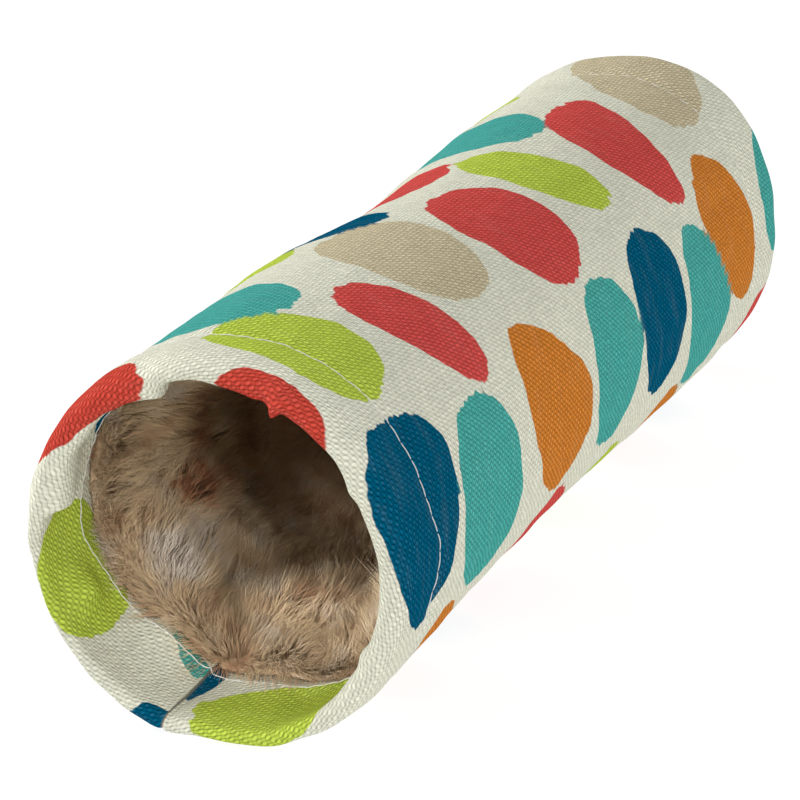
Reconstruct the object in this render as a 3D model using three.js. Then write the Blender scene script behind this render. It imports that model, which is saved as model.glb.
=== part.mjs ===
// Small cat tunnel: a printed canvas sleeve, turned in at both mouths, round a loose fur lining.
// Millimetres, +Z up. The tunnel lies along Y with its near mouth at -Y, and the origin is on
// the floor under the middle. Angles go round the tunnel in degrees: 0 is +X, 90 is the top.
// "along" is the distance from the near mouth, and "rise" is how far a place stands out.

import * as THREE from 'three';

// Driving dimensions of the sleeve
const OUTER_RADIUS = 50;
const LENGTH = 305;
const CANVAS = 1.2;
const FLAT_DEPTH = 1.2;

// The hem at each mouth: rolled edge, turned-in facing, and the stitch line that draws it in
const ROLL_RADIUS = 2.6;
const FACING_LENGTH = 27;
const STITCH_FROM_MOUTH = 22.5;
const STITCH_SINK = 0.9;
const STITCH_REACH = 3.2;
const HEM_PUFF = 0.4;
const HEM_PUFF_FROM_MOUTH = 10;
const HEM_PUFF_REACH = 6;

// The lengthwise seam, low on the left side
const SEAM_ANGLE = 254.5;
const SEAM_SINK = 0.9;
const SEAM_SPREAD = 2.2;

// The fur lining: a backing caught in the hems, and a pile that stands in from it
const PLAY = 0.4;
const BACKING = 1;
const LIP_FROM_MOUTH = 14;
const FUR_FROM_MOUTH = 27.5;
const PILE_RADIUS = 39.5;
const PILE_FROM_MOUTH = 30;

// The locks at the pile's free edge: how far they lie over the hem, how far in and out they
// swing, and how many go round, coarse and fine
const LOCK_OVERHANG = 2.2;
const LOCK_SWING = 1.3;
const COARSE_LOCKS = 9;
const FINE_LOCKS = 21;
const FINE_SHARE = 0.6;

// A fine ruffle all over the pile: two waves that cross, by turns round and length along
const RUFFLE = 0.6;
const RUFFLE_WAVES = [{ turns: 7, along: 9 }, { turns: 4, along: -14 }];

// The layers, worked out from those: the backing's two faces, the facing's inner face, and the
// underside and crest of the locks that lie over it
const BACKING_OUTER = OUTER_RADIUS - CANVAS - PLAY;
const BACKING_INNER = BACKING_OUTER - BACKING;
const FACING_RADIUS = BACKING_INNER - PLAY - CANVAS;
const LOCK_RADIUS = FACING_RADIUS - 0.7;
const LOCK_TIP_RADIUS = FACING_RADIUS - 1.2;
const LOCK_CREST_RADIUS = FACING_RADIUS - 3.6;

// Facets round the tunnel
const SIDES = 54;
const SEAM_EDGE = 2.4;

// Soft folds of the sleeve, canvas and lining together: the angle and place of the middle,
// the spread round in degrees, the reach along in mm, and the rise in mm (sunk if negative). The
// last two are the sag along both sides of the flat underside, which widen what it lies on.
const FOLDS = [
  { angle: 130, along: 141, spread: 32, reach: 21, rise: -2.8 },
  { angle: 130, along: 172, spread: 30, reach: 20, rise: -3 },
  { angle: 130, along: 204, spread: 28, reach: 15, rise: -1.4 },
  { angle: 132, along: 98, spread: 16, reach: 18, rise: 1.2 },
  { angle: 78, along: 205, spread: 30, reach: 34, rise: 0.7 },
  { angle: -42, along: 262, spread: 30, reach: 66, rise: 2.2 },
  { angle: -44, along: 130, spread: 24, reach: 40, rise: -0.7 },
  { angle: -48, along: 22, spread: 24, reach: 22, rise: 1.3 },
  { angle: 8, along: 300, spread: 36, reach: 26, rise: -0.6 },
  { angle: 58, along: 298, spread: 30, reach: 18, rise: 1.3 },
  { angle: 88, along: 302, spread: 30, reach: 22, rise: 0.8 },
  { angle: 200, along: 150, spread: 40, reach: 60, rise: 1.2 },
  { angle: 172, along: 14, spread: 26, reach: 26, rise: 1 },
  { angle: 22, along: 262, spread: 15, reach: 15, rise: -0.9 },
  { angle: 60, along: 52, spread: 32, reach: 16, rise: -0.7 },
  { angle: 100, along: 42, spread: 12, reach: 14, rise: 0.6 },
  { angle: 38, along: 118, spread: 16, reach: 24, rise: 0.6 },
  { angle: 5, along: 78, spread: 14, reach: 22, rise: -0.6 },
  { angle: 48, along: 236, spread: 14, reach: 18, rise: 0.6 },
  { angle: 150, along: 232, spread: 18, reach: 30, rise: -0.6 },
  { angle: 215, along: 66, spread: 16, reach: 24, rise: -0.8 },
  { angle: 168, along: 80, spread: 14, reach: 26, rise: 0.8 },
  { angle: 310, along: 96, spread: 16, reach: 26, rise: -0.5 },
  { angle: 251, along: 152, spread: 10, reach: 400, rise: 2.8 },
  { angle: 287, along: 152, spread: 10, reach: 400, rise: 2.8 },
];

// Lobes where the turned-in hem bulges into a mouth: the end, the angle, the spread round in
// degrees, how far the lobe stands in, and how far it leans out past the mouth, in mm
const LOBES = [
  { end: 'near', angle: 170, spread: 11, inward: 3.4, lean: 0.9 },
  { end: 'near', angle: 145, spread: 13, inward: 2.6, lean: 0.3 },
  { end: 'near', angle: 114, spread: 11, inward: 3, lean: -0.6 },
  { end: 'near', angle: 72, spread: 14, inward: 1.8, lean: -0.4 },
  { end: 'near', angle: 20, spread: 26, inward: 1.7, lean: 0.5 },
  { end: 'near', angle: 330, spread: 24, inward: 1.5, lean: 0.3 },
  { end: 'near', angle: 290, spread: 18, inward: 0.9, lean: 0.8 },
  { end: 'near', angle: 240, spread: 37, inward: 0, lean: 3.3 },
  { end: 'far', angle: 40, spread: 16, inward: 1.2, lean: 0.6 },
  { end: 'far', angle: 62, spread: 38, inward: 0, lean: 4.2 },
  { end: 'far', angle: 95, spread: 14, inward: 1.6, lean: -0.5 },
  { end: 'far', angle: 160, spread: 18, inward: 1, lean: 0.7 },
  { end: 'far', angle: 215, spread: 12, inward: 1.5, lean: 0.4 },
  { end: 'far', angle: 320, spread: 16, inward: 1.2, lean: -0.6 },
];
const LOBE_FROM_MOUTH = 7;
const LOBE_REACH = 8;
const LEAN_REACH = 16;

// Lumps and hollows of the loose fur, named as the folds are; a rise is into the passage
const FUR_LUMPS = [
  { angle: 272, along: 66, spread: 24, reach: 22, rise: 7 },
  { angle: 214, along: 47, spread: 26, reach: 15, rise: 3.2 },
  { angle: 196, along: 78, spread: 22, reach: 17, rise: 4.2 },
  { angle: 232, along: 96, spread: 24, reach: 20, rise: -2.4 },
  { angle: 158, along: 52, spread: 26, reach: 20, rise: 2.4 },
  { angle: 252, along: 136, spread: 30, reach: 22, rise: 4 },
  { angle: 182, along: 150, spread: 26, reach: 24, rise: 3.4 },
  { angle: 60, along: 92, spread: 30, reach: 30, rise: 2 },
  { angle: 0, along: 60, spread: 26, reach: 24, rise: 3.4 },
  { angle: 350, along: 168, spread: 28, reach: 28, rise: 4 },
  { angle: 118, along: 196, spread: 30, reach: 26, rise: 2 },
  { angle: 286, along: 214, spread: 30, reach: 24, rise: 5 },
  { angle: 205, along: 246, spread: 28, reach: 20, rise: 3.6 },
  { angle: 30, along: 246, spread: 28, reach: 20, rise: 2.6 },
];

const radians = THREE.MathUtils.degToRad;

// A round hump, 1 in the middle and near 0 past its reach
function hump(distance, reach) {
  return Math.exp(-((distance / reach) ** 2));
}

// The shorter way round from one angle to another, in degrees
function turn(from, to) {
  return ((to - from + 540) % 360 + 360) % 360 - 180;
}

// The summed rise of a table of folds or lumps at one place
function tableRise(table, angle, along) {
  let rise = 0;
  for (const fold of table) {
    rise += fold.rise * hump(turn(fold.angle, angle), fold.spread)
      * hump(along - fold.along, fold.reach);
  }
  return rise;
}

function fromNearestMouth(along) {
  return Math.min(along, LENGTH - along);
}

// How far the cloth layers stand out or in at one place, besides the folds: hem puff, stitch
// line and seam
function sewnRise(angle, along) {
  const inset = fromNearestMouth(along);
  return HEM_PUFF * hump(inset - HEM_PUFF_FROM_MOUTH, HEM_PUFF_REACH)
    - STITCH_SINK * hump(inset - STITCH_FROM_MOUTH, STITCH_REACH)
    - SEAM_SINK * hump(turn(SEAM_ANGLE, angle), SEAM_SPREAD);
}

// The lobes of one mouth added up: key is 'inward' or 'lean'
function lobeSum(end, angle, key) {
  let sum = 0;
  for (const lobe of LOBES) {
    if (lobe.end === end) {
      sum += lobe[key] * hump(turn(lobe.angle, angle), lobe.spread);
    }
  }
  return sum;
}

// One point of a layer. radius is the layer's own, before folds; facing is 0 on the wall and 1
// on the turned-in hem, which alone takes the lobes; sewn is 1 for cloth that the sewing draws
// in and 0 for the pile. The floor flattens every layer alike.
function layerPoint(angle, along, radius, facing, sewn) {
  const end = along < LENGTH / 2 ? 'near' : 'far';
  const inset = fromNearestMouth(along);
  const lobe = facing * lobeSum(end, angle, 'inward') * hump(inset - LOBE_FROM_MOUTH, LOBE_REACH);
  const lean = lobeSum(end, angle, 'lean') * hump(inset, LEAN_REACH);
  const rise = tableRise(FOLDS, angle, along) + sewn * sewnRise(angle, along);
  const r = radius + rise - lobe;
  const floor = FLAT_DEPTH - radius + lobe;
  const height = Math.max(r * Math.sin(radians(angle)), floor);
  const outward = end === 'near' ? -lean : lean;
  return new THREE.Vector3(
    r * Math.cos(radians(angle)),
    along + outward - LENGTH / 2,
    height + OUTER_RADIUS - FLAT_DEPTH,
  );
}

// The angles of the facets, with two more beside the seam so that its groove is crisp
function facetAngles() {
  const angles = [SEAM_ANGLE - SEAM_EDGE, SEAM_ANGLE + SEAM_EDGE];
  for (let side = 0; side < SIDES; side += 1) {
    angles.push((SEAM_ANGLE + (side * 360) / SIDES) % 360);
  }
  return angles.sort((a, b) => a - b);
}

// A closed ring: a closed profile of stations carried round the tunnel. pointAt(angle, station)
// gives each point; the stations run so that the faces look outwards. Every face is split the
// same way seen from outside, so that layers lying close together keep their distance.
function ringGeometry(stations, pointAt) {
  const angles = facetAngles();
  const positions = [];
  for (const station of stations) {
    for (const angle of angles) {
      positions.push(...pointAt(angle, station).toArray());
    }
  }
  const index = [];
  for (let row = 0; row < stations.length; row += 1) {
    const nextRow = (row + 1) % stations.length;
    for (let column = 0; column < angles.length; column += 1) {
      const nextColumn = (column + 1) % angles.length;
      const a = row * angles.length + column;
      const b = row * angles.length + nextColumn;
      const c = nextRow * angles.length + nextColumn;
      const d = nextRow * angles.length + column;
      if (stations[nextRow].along >= stations[row].along) {
        index.push(a, c, b, a, d, c);
      } else {
        index.push(a, d, b, b, d, c);
      }
    }
  }
  const geometry = new THREE.BufferGeometry();
  geometry.setAttribute('position', new THREE.Float32BufferAttribute(positions, 3));
  geometry.setIndex(index);
  geometry.computeVertexNormals();
  return geometry;
}

// Places where the layers are sampled, as insets from each mouth: on the puff of the hem, at
// the foot of the stitch line, and from there out to the plain wall
const PUFF_INSETS = [8, 13];
const FOOT_INSET = 18.5;
const WALL_INSETS = [FOOT_INSET, STITCH_FROM_MOUTH, 25.5, 30, 38];
const BODY_STEPS = 13;
const PILE_STEPS = 20;
const OUTER_ROLL_STEPS = 6;
const INNER_ROLL_STEPS = 4;

// Places from mouth to mouth: the given insets at both ends, and even steps between them
function wallPlaces(nearInsets) {
  const places = [...nearInsets];
  const start = nearInsets[nearInsets.length - 1];
  const step = (LENGTH - 2 * start) / BODY_STEPS;
  for (let i = 1; i < BODY_STEPS; i += 1) {
    places.push(start + i * step);
  }
  for (const inset of [...nearInsets].reverse()) {
    places.push(LENGTH - inset);
  }
  return places;
}

// Stations of the rolled edge at one mouth, as insets: an arc of the given radius from the
// wall's side round to the facing's side
function rollArc(radius, steps) {
  const stations = [];
  for (let i = 1; i < steps; i += 1) {
    const swing = (Math.PI * i) / steps;
    stations.push({
      inset: ROLL_RADIUS - radius * Math.sin(swing),
      radius: OUTER_RADIUS - ROLL_RADIUS + radius * Math.cos(swing),
      facing: (1 - Math.cos(swing)) / 2,
    });
  }
  return stations;
}

// The facing's inner face: close to the roll it stands in, and it eases out to the stitch line
function facingRadius(inset) {
  const rollInner = OUTER_RADIUS - 2 * ROLL_RADIUS;
  const ease = THREE.MathUtils.smoothstep(inset, ROLL_RADIUS, STITCH_FROM_MOUTH);
  return rollInner + (FACING_RADIUS - rollInner) * ease;
}

function facingStations(insets, thickness) {
  return insets.map((inset) => ({
    inset,
    radius: facingRadius(inset) + thickness,
    facing: 1,
  }));
}

// A mouth's stations, mapped to places along the tunnel
function atNear(stations) {
  return stations.map(({ inset, ...rest }) => ({ along: inset, ...rest }));
}

function atFar(stations) {
  return stations.map(({ inset, ...rest }) => ({ along: LENGTH - inset, ...rest }));
}

// The canvas: outer face, far roll and facing out and back, inner face, near roll and facing
function canvasStations() {
  const outerFace = wallPlaces([ROLL_RADIUS, ...PUFF_INSETS, ...WALL_INSETS])
    .map((along) => ({ along, radius: OUTER_RADIUS, facing: 0 }));
  const innerFace = wallPlaces([ROLL_RADIUS, PUFF_INSETS[1], ...WALL_INSETS])
    .map((along) => ({ along, radius: OUTER_RADIUS - CANVAS, facing: 0 }));
  const facing = [ROLL_RADIUS, ...PUFF_INSETS, FOOT_INSET, STITCH_FROM_MOUTH, FACING_LENGTH];
  const hem = [
    ...rollArc(ROLL_RADIUS, OUTER_ROLL_STEPS),
    ...facingStations(facing, 0),
    ...facingStations([...facing].reverse(), CANVAS),
    ...rollArc(ROLL_RADIUS - CANVAS, INNER_ROLL_STEPS).reverse(),
  ];
  return [
    ...outerFace,
    ...atFar(hem),
    ...innerFace.reverse(),
    ...atNear([...hem].reverse()),
  ];
}

// How the pile's free edge runs in and out round a mouth, in locks of fur
function lockSwing(angle) {
  const coarse = Math.sin(radians(COARSE_LOCKS * angle));
  const fine = Math.sin(radians(FINE_LOCKS * angle));
  return LOCK_SWING * (coarse + FINE_SHARE * fine);
}

// The pile's own surface: lumps of the loose lining and a fine ruffle
function pileRadius(angle, along) {
  let ruffle = RUFFLE;
  for (const wave of RUFFLE_WAVES) {
    ruffle *= Math.sin(radians(wave.turns * angle) + along / wave.along);
  }
  return PILE_RADIUS - tableRise(FUR_LUMPS, angle, along) + ruffle;
}

// The lining: backing outside, its lip inside the hem, the pile's free edge, and the pile.
// lock is the share of the locks' swing that a station of the free edge takes.
function liningStations() {
  const outerFace = wallPlaces([LIP_FROM_MOUTH, ...WALL_INSETS])
    .map((along) => ({ along, radius: BACKING_OUTER }));
  const lip = [LIP_FROM_MOUTH, FOOT_INSET, STITCH_FROM_MOUTH, FUR_FROM_MOUTH]
    .map((inset) => ({ inset, radius: BACKING_INNER }));
  const edge = [
    ...lip,
    { inset: FUR_FROM_MOUTH, radius: LOCK_RADIUS },
    { inset: FUR_FROM_MOUTH - LOCK_OVERHANG, radius: LOCK_TIP_RADIUS, lock: 1 },
    { inset: FUR_FROM_MOUTH - LOCK_OVERHANG / 3, radius: LOCK_CREST_RADIUS, lock: 0.5 },
  ];
  const pileStep = (LENGTH - 2 * PILE_FROM_MOUTH) / PILE_STEPS;
  const pileFace = [];
  for (let i = PILE_STEPS; i >= 0; i -= 1) {
    pileFace.push({ along: PILE_FROM_MOUTH + i * pileStep });
  }
  return [
    ...outerFace,
    ...atFar(edge),
    ...pileFace,
    ...atNear([...edge].reverse()),
  ];
}

// A point of the lining: the pile's stations have no radius of their own
function liningPoint(angle, { along, radius, lock = 0 }) {
  if (radius === undefined) {
    return layerPoint(angle, along, pileRadius(angle, along), 0, 0);
  }
  const outward = along < LENGTH / 2 ? -1 : 1;
  return layerPoint(angle, along + outward * lock * lockSwing(angle), radius, 0, 1);
}

// Materials
const canvasMaterial = new THREE.MeshStandardMaterial({
  color: 0xe3dfd0,
  roughness: 0.9,
  metalness: 0,
});
const furMaterial = new THREE.MeshStandardMaterial({
  color: 0xb09a82,
  roughness: 0.97,
  metalness: 0,
});

// Canvas shell: one piece of cloth with its hems
const canvasShell = new THREE.Mesh(
  ringGeometry(
    canvasStations(),
    (angle, { along, radius, facing }) => layerPoint(angle, along, radius, facing, 1),
  ),
  canvasMaterial,
);
canvasShell.name = 'canvas_shell';

// Fur lining: one loose tube of plush
const furLining = new THREE.Mesh(ringGeometry(liningStations(), liningPoint), furMaterial);
furLining.name = 'fur_lining';

const tunnel = new THREE.Group();
tunnel.add(canvasShell, furLining);

export default tunnel;
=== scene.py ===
# %% [markdown]
# # A small cat tunnel: printed canvas outside, loose fur inside
# The real thing is one panel of printed canvas rolled into a tube, with both ends turned in as
# deep hems, and a tube of plush caught in the hems. This lesson dresses the two plain solids of
# the frame: the canvas gets its weave, print, puckers and stitches, and the lining its fur.

import math

import bpy
import numpy as np
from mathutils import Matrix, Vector


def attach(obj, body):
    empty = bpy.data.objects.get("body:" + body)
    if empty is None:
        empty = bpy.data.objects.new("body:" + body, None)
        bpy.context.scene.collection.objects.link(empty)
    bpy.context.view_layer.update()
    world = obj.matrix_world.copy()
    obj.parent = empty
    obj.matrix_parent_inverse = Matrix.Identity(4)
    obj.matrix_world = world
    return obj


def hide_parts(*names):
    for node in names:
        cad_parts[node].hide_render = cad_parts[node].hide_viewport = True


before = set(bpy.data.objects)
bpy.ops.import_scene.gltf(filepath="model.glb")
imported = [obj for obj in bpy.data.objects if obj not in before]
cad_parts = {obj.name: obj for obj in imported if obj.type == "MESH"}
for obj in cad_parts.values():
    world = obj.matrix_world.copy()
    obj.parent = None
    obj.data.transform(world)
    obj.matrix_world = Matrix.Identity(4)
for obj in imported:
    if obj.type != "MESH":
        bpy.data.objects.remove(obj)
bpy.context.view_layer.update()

# %% [markdown]
# ## Camera
# The tunnel was seen from in front, a little to its right and from above, with a long lens. The
# camera is placed by its own position and the way it looks, in the frame's axes: +Y runs along
# the tunnel away from us, and +Z is up. A long lens keeps the far mouth nearly as large as ours.

# %% Camera at the viewing angle
LOOK_AZIMUTH = math.radians(22.92)
LOOK_ELEVATION = math.radians(20.63)
CAMERA_AT = (0.3257, -0.8057, 0.3636)
LENS_MM = 148.5

camera = bpy.data.objects.new("camera", bpy.data.cameras.new("camera"))
bpy.context.scene.collection.objects.link(camera)
camera.data.lens = LENS_MM
camera.data.sensor_width = 36
camera.data.clip_start = 0.01
camera.location = CAMERA_AT
backward = Vector((
    math.sin(LOOK_AZIMUTH) * math.cos(LOOK_ELEVATION),
    -math.cos(LOOK_AZIMUTH) * math.cos(LOOK_ELEVATION),
    math.sin(LOOK_ELEVATION),
))
camera.rotation_euler = (-backward).to_track_quat("-Z", "Y").to_euler()
bpy.context.scene.camera = camera
print("camera", camera.data.lens, "mm lens, at", CAMERA_AT)

# %% [markdown]
# ## The sleeve's measures
# All cloth here follows one sleeve, so its numbers come first, in millimetres and degrees, the
# same as the solid's own. Angle 0 is the right side and 90 the top. "Along" is measured from the
# near mouth, and "inset" from the nearer mouth. Every layer is a radius that folds change.

# %% Measures of the sleeve, in millimetres and degrees
MM = 0.001
OUTER_RADIUS, LENGTH, CANVAS, FLAT_DEPTH = 50.0, 305.0, 1.2, 1.2
ROLL_RADIUS, FACING_LENGTH = 2.6, 27.0
STITCH_FROM_MOUTH, STITCH_SINK, STITCH_REACH = 22.5, 0.9, 3.2
HEM_PUFF, HEM_PUFF_FROM_MOUTH, HEM_PUFF_REACH = 0.4, 10.0, 6.0
SEAM_ANGLE, SEAM_SINK, SEAM_SPREAD = 254.5, 0.9, 2.2
PLAY, BACKING, LIP_FROM_MOUTH, FUR_FROM_MOUTH = 0.4, 1.0, 14.0, 27.5
BACKING_OUTER = OUTER_RADIUS - CANVAS - PLAY
BACKING_INNER = BACKING_OUTER - BACKING
FACING_RADIUS = BACKING_INNER - PLAY - CANVAS
LOBE_FROM_MOUTH, LOBE_REACH, LEAN_REACH = 7.0, 8.0, 16.0
FLOOR_EASE = 0.5

# Soft folds: angle, along, spread in degrees, reach in mm, rise in mm
FOLDS = np.array([
    (130, 141, 32, 21, -2.8), (130, 172, 30, 20, -3.0), (130, 204, 28, 15, -1.4),
    (132, 98, 16, 18, 1.2), (78, 205, 30, 34, 0.7), (88, 302, 30, 22, 0.8),
    (-42, 262, 30, 66, 2.2), (-44, 130, 24, 40, -0.7), (-48, 22, 24, 22, 1.3),
    (8, 300, 36, 26, -0.6), (58, 298, 30, 18, 1.3), (200, 150, 40, 60, 1.2),
    (172, 14, 26, 26, 1.0), (22, 262, 15, 15, -0.9), (60, 52, 32, 16, -0.7),
    (100, 42, 12, 14, 0.6), (38, 118, 16, 24, 0.6), (5, 78, 14, 22, -0.6),
    (48, 236, 14, 18, 0.6), (150, 232, 18, 30, -0.6), (215, 66, 16, 24, -0.8),
    (168, 80, 14, 26, 0.8), (310, 96, 16, 26, -0.5), (251, 165, 9, 120, 1.9),
    (287, 165, 9, 120, 1.9),
])

# Small creases that only the cloth itself shows, in the same columns
CREASES = np.array([
    (96, 30, 5, 6, 0.35), (64, 30, 6, 5, -0.3), (34, 31, 5, 6, 0.35), (12, 33, 6, 7, -0.3),
    (-8, 31, 5, 6, 0.3), (120, 33, 6, 7, -0.35), (25, 258, 4, 13, -0.7), (31, 252, 4, 10, 0.45),
    (84, 268, 9, 6, -0.5), (60, 274, 10, 6, 0.5), (104, 262, 10, 8, 0.4), (40, 284, 8, 5, -0.4),
    (128, 96, 6, 30, -0.5), (112, 150, 7, 24, 0.4), (-20, 130, 6, 26, 0.35),
    (-30, 70, 6, 18, -0.4), (140, 190, 6, 22, -0.4), (232, 40, 5, 14, 0.4),
    (185, 2, 4, 6, 0.9), (138, 116, 9, 7, -0.5),
])

# Lobes where a hem bulges into its mouth: 0 near or 1 far, angle, spread on the low and on the
# high side, how far it stands in, how far it leans out of the mouth
LOBES = np.array([
    (0, 172, 17, 3.4, 6.0, 1.2), (0, 144, 12, 9, 2.0, 0.3), (0, 112, 4, 14, 4.6, -0.8),
    (0, 96, 5, 5, -0.8, 0.5), (0, 72, 14, 14, 1.8, -0.4), (0, 31, 3, 4, 1.3, 0.2),
    (0, 20, 26, 26, 1.9, 0.5), (0, -27, 3, 3, 1.1, 0.1), (0, -30, 24, 24, 1.6, 0.3),
    (0, 290, 16, 16, 0.8, 0.8), (0, 240, 36, 38, 0.0, 3.3), (0, 259, 3, 5, 0.9, 0.3),
    (0, 250, 6, 3, 0.6, 0.3), (0, 206, 4, 4, 0.7, 0.0), (0, 128, 3, 3, 0.6, 0.2),
    (0, 67.5, 1.5, 1.5, 2.6, 0.9), (0, 72.5, 2.2, 2.2, -0.8, -0.3), (0, 63, 2.4, 2.4, -0.6, 0.2),
    (1, 40, 16, 16, 1.2, 0.6), (1, 95, 14, 14, 1.6, -0.5), (1, 160, 18, 18, 1.0, 0.7),
    (1, 215, 12, 12, 1.5, 0.4), (1, 320, 16, 16, 1.2, -0.6), (1, 12, 4, 4, 0.9, 0.2),
    (1, 130, 4, 7, 1.3, -0.2), (1, 70, 4, 6, 0.9, 0.2), (1, 62, 38, 38, 0.0, 4.2),
])

# Where the turned-in facing and the fur's edge are pushed into the mouth together: end, angle,
# spread on the low and high side, inset, reach, how far in
PUSHED_IN = np.array([
    (0, 236, 16, 15, 27, 13, 4.6), (0, 282, 20, 20, 28, 12, 2.8), (0, 207, 10, 5, 12, 5.5, 3.8),
    (1, 250, 30, 30, 27, 13, 2.6), (1, 140, 20, 20, 25, 12, 1.2),
])
SEAM_STEP = 0.9            # how far the facing's left panel stands over the right one

# How the roll of a hem is wider or tighter than usual: end, angle, spread, change of radius
ROLLS = np.array([
    (0, 55, 62, 0.6), (0, 128, 26, 0.3), (0, 204, 22, -1.0), (0, 284, 28, -0.6),
    (1, 60, 60, 0.3), (1, 240, 60, -0.5),
])

# Where the stitch line strays from its usual inset: end, angle, spread, how much deeper it lies
STRAYS = np.array([
    (0, 1, 10, 2.8), (0, 92, 9, -0.9), (0, 188, 12, -4.2), (1, 80, 14, -1.2), (1, 150, 20, 1.0),
])
print(len(FOLDS), "folds,", len(CREASES), "creases,", len(LOBES), "lobes")

# %% [markdown]
# ## From angle and place to a point
# One function turns (angle, along, radius) into a point of cloth. It adds up humps: a hump is
# 1 in its middle and falls off like a bell. The floor then presses the tube flat underneath, with
# a smooth maximum so that the cloth rounds into the flat instead of breaking.

# %% Humps, folds and the layer's points
def hump(distance, reach):
    """A bell: e to the minus (distance / reach) squared."""
    return np.exp(-((distance / reach) ** 2))


def turn(start, end):
    """The shorter way round from one angle to another, in degrees."""
    return (end - start + 180) % 360 - 180


def ease(value, low, high):
    """Smooth step: 3t^2 - 2t^3, where t runs from 0 at low to 1 at high."""
    t = np.clip((value - low) / (high - low), 0, 1)
    return t * t * (3 - 2 * t)


def table_rise(table, angle, along):
    """Sum over the rows of rise x bell(angle) x bell(along)."""
    return sum(
        rise * hump(turn(at, angle), spread) * hump(along - place, reach)
        for at, place, spread, reach, rise in table
    )


def lobe_sum(angle, far, column):
    """Sum of one column of LOBES over the lobes of each point's own mouth."""
    total = 0
    for end, at, low, high, *amounts in LOBES:
        away = turn(at, angle)
        bell = hump(away, np.where(away < 0, low, high))
        total = total + amounts[column] * bell * (far == end)
    return total


def waves(angle, along, count, seed, shortest, longest):
    """Random ripples, about -1 to 1: a sum of sines that close round the tube."""
    random = np.random.default_rng(seed)
    total = 0
    for _ in range(count):
        length = np.exp(random.uniform(math.log(shortest), math.log(longest)))
        heading = random.uniform(0, math.pi)
        turns = round(2 * math.pi * OUTER_RADIUS * math.cos(heading) / length)
        phase = random.uniform(0, 2 * math.pi)
        total = total + np.sin(
            np.radians(angle) * turns + 2 * math.pi * along * math.sin(heading) / length + phase
        )
    return total / math.sqrt(count)


def end_sum(table, angle, far):
    """Sum over the rows of one mouth of amount x bell(angle)."""
    return sum(
        amount * hump(turn(at, angle), spread) * (far == end) for end, at, spread, amount in table
    )


def pushed_in(angle, far, inset):
    """Sum over PUSHED_IN of amount x bell(angle) x bell(inset)."""
    total = 0
    for end, at, low, high, place, reach, amount in PUSHED_IN:
        away = turn(at, angle)
        bell = hump(away, np.where(away < 0, low, high)) * hump(inset - place, reach)
        total = total + amount * bell * (far == end)
    return total


def stitch_inset(angle, far):
    """How deep the stitch line lies: its usual inset, strays, and a small wander."""
    wander = 0.22 * waves(angle, 0 * angle, 8, 41, 12, 60)
    return STITCH_FROM_MOUTH + end_sum(STRAYS, angle, far) + wander


def sewn_rise(angle, along):
    """Hem puff - stitch groove - seam groove, with puckers beside the stitches."""
    far = (along > LENGTH / 2).astype(int)
    inset = np.minimum(along, LENGTH - along)
    beside = inset - stitch_inset(angle, far)
    gather = waves(angle, 0 * along, 9, 5, 7, 22)
    pucker = 0.17 * gather * hump(beside, 7) * np.sign(beside) * ease(abs(beside), 0.3, 4)
    puff = HEM_PUFF * (1 + 0.5 * waves(angle, 0 * along, 6, 8, 22, 60))
    from_seam = turn(SEAM_ANGLE, angle)
    seam = hump(from_seam, SEAM_SPREAD) * 0.35 + 0.65 * hump(from_seam, 0.8)
    return (
        puff * hump(inset - HEM_PUFF_FROM_MOUTH, HEM_PUFF_REACH)
        - STITCH_SINK * (0.6 * hump(beside, STITCH_REACH) + 0.4 * hump(beside, 1.2))
        - SEAM_SINK * seam
        + pucker
    )


def layer_points(angle, along, radius, facing=0.0, sewn=1.0, fine=1.0, inner=0.0):
    """x = r cos a, y = along, z = r sin a held above the floor, in metres. r is the layer's
    radius plus folds, sewing and fine ripples, less the lobes of the turned-in hem. inner is 1
    on the fur's own surface, which is pushed in together with the facing."""
    angle, along, radius, facing = np.broadcast_arrays(angle, along, radius, facing)
    far = (along > LENGTH / 2).astype(int)
    inset = np.minimum(along, LENGTH - along)
    lobe = facing * lobe_sum(angle, far, 0) * hump(inset - LOBE_FROM_MOUTH, LOBE_REACH)
    lobe = lobe + np.maximum(facing, inner) * pushed_in(angle, far, inset)
    over = turn(SEAM_ANGLE, angle)
    step = ease(-over, -0.3, 0.3) * hump(over, 16) * ease(inset, 2, 9)
    lobe = lobe + facing * SEAM_STEP * step
    lean = lobe_sum(angle, far, 1) * hump(inset, LEAN_REACH)
    lean = lean + fine * 0.3 * waves(angle, 0 * along, 7, 3, 9, 40) * hump(inset, 5)
    ripple = table_rise(CREASES, angle, along) + 0.16 * waves(angle, along, 26, 2, 9, 46)
    rise = table_rise(FOLDS, angle, along) + sewn * sewn_rise(angle, along) + fine * ripple
    r = radius + rise - lobe
    floor = FLAT_DEPTH - radius + lobe
    height = r * np.sin(np.radians(angle))
    height = (height + floor + np.sqrt((height - floor) ** 2 + FLOOR_EASE**2)) / 2
    x = r * np.cos(np.radians(angle))
    y = along + np.where(far, lean, -lean) - LENGTH / 2
    z = height + OUTER_RADIUS - FLAT_DEPTH
    return np.stack([x, y, z], axis=-1) * MM


print("top of the sleeve at mid-length:", layer_points(90.0, LENGTH / 2, OUTER_RADIUS))

# %% [markdown]
# ## A closed ring of cloth
# Each layer of the tunnel is a closed profile, going out along one face and back along the other,
# carried right round. As a grid of stations by angles it needs no loop over vertices: the corner
# numbers of all the faces come from one array shifted by a row and by a column.

# %% Grid meshes
def grid_faces(rows, columns):
    """Corner numbers of the quads of a grid that closes both ways: a, a+column, both, a+row."""
    number = np.arange(rows * columns).reshape(rows, columns)
    right = np.roll(number, -1, axis=1)
    up = np.roll(number, -1, axis=0)
    both = np.roll(up, -1, axis=1)
    return np.stack([number, right, both, up], axis=-1).reshape(-1, 4)


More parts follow.
